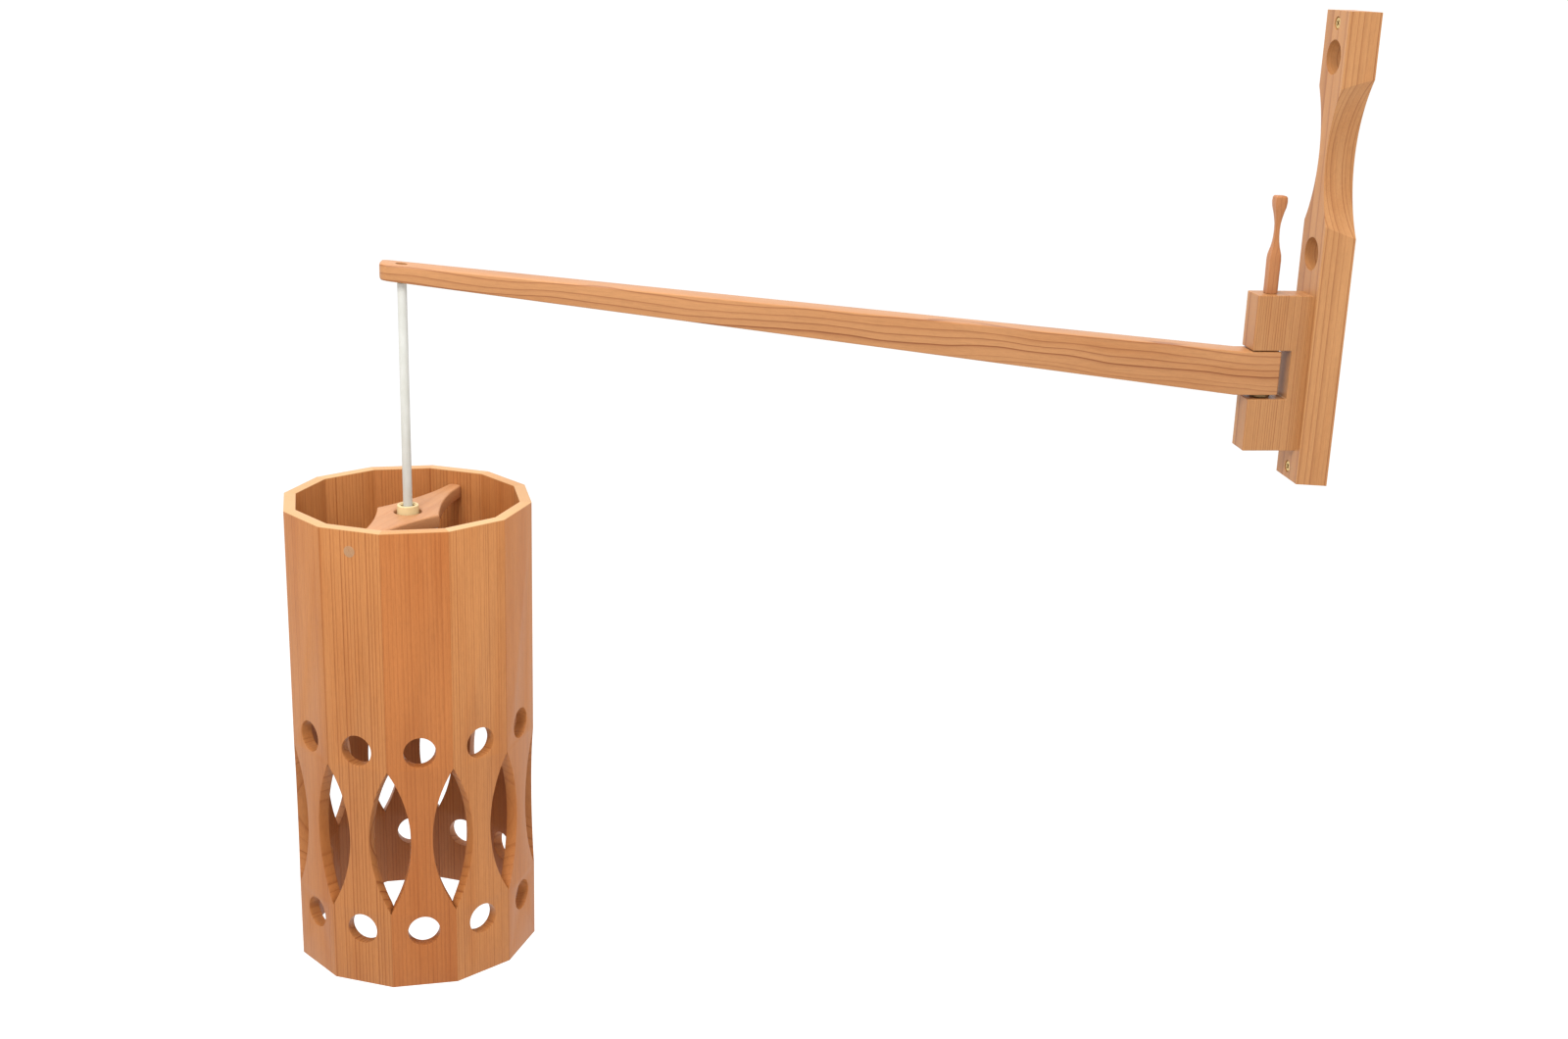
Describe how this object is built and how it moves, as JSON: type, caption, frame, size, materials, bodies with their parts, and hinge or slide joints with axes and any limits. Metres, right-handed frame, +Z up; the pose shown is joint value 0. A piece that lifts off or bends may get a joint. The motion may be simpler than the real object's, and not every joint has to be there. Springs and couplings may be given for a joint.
{
  "type": "swing arm wall lamp",
  "caption": "Wooden wall lamp: a post with a hinge block, a tapered arm on a wooden pin, and a pierced stave shade hanging on a flex.",
  "frame": {"origin": "on the flat back of the wall post, level with the middle of the hinge block, where the post meets the wall", "axes": "+Z up, +Y into the wall, -Y out along the arm at rest, +X to the right of someone who stands in front of the lamp and faces the wall"},
  "size_m": [0.15, 0.6527, 0.5959],
  "materials": {
    "post_wood": "satin lacquered pine",
    "arm_wood": "satin lacquered pine with long grain",
    "shade_wood": "satin lacquered pine staves",
    "pin_wood": "satin redder wood",
    "plug_wood": "end grain",
    "cream_plastic": "satin cream",
    "white_plastic": "satin off-white",
    "flex_sheath": "satin off-white sheath",
    "ceramic": "glazed white",
    "brass": "polished",
    "steel": "zinc plated"
  },
  "bodies": {
    "bracket": {"post": "post_wood", "hinge_block": "post_wood", "block_screw_upper": "steel", "block_screw_lower": "steel", "wall_screw_upper": "brass", "wall_screw_lower": "brass", "hinge_washer": "brass"},
    "pin": {"hinge_pin": "pin_wood"},
    "swing_arm": {"arm": "arm_wood", "arm_flex": "flex_sheath"},
    "flex": {"pendant_flex": "flex_sheath"},
    "holder": {"cord_grip": "cream_plastic", "holder_cap": "white_plastic", "holder_body": "white_plastic", "contact_insulator": "ceramic", "screw_shell": "brass", "centre_contact": "brass"},
    "shade": {"crossbar": "shade_wood", "stave_01": "shade_wood", "stave_02": "shade_wood", "stave_03": "shade_wood", "stave_04": "shade_wood", "stave_05": "shade_wood", "stave_06": "shade_wood", "stave_07": "shade_wood", "stave_08": "shade_wood", "stave_09": "shade_wood", "stave_10": "shade_wood", "stave_11": "shade_wood", "stave_12": "shade_wood", "bar_screw_1": "steel", "bar_screw_2": "steel", "bar_plug_1": "plug_wood", "bar_plug_2": "plug_wood"}
  },
  "joints": [
    {"name": "arm_swing", "type": "hinge", "parent": "bracket", "child": "swing_arm", "pos_m": [0, -0.0427, 0], "axis": [0, 0, 1], "range_deg": [-85, 85]},
    {"name": "pin_lift", "type": "slide", "parent": "bracket", "child": "pin", "axis": [0, 0, 1], "range_m": [0, 0.1]},
    {"name": "flex_swing", "type": "hinge", "parent": "swing_arm", "child": "flex", "pos_m": [0, -0.5777, 0.05091], "axis": [1, 0, 0], "range_deg": [-5, 5]},
    {"name": "holder_swing", "type": "hinge", "parent": "flex", "child": "holder", "pos_m": [0, -0.5777, -0.0915], "axis": [0, 1, 0], "range_deg": [-5, 5]},
    {"name": "shade_turn", "type": "hinge", "parent": "holder", "child": "shade", "pos_m": [0, -0.5777, -0.0981], "axis": [0, 0, 1], "continuous": true}
  ]
}
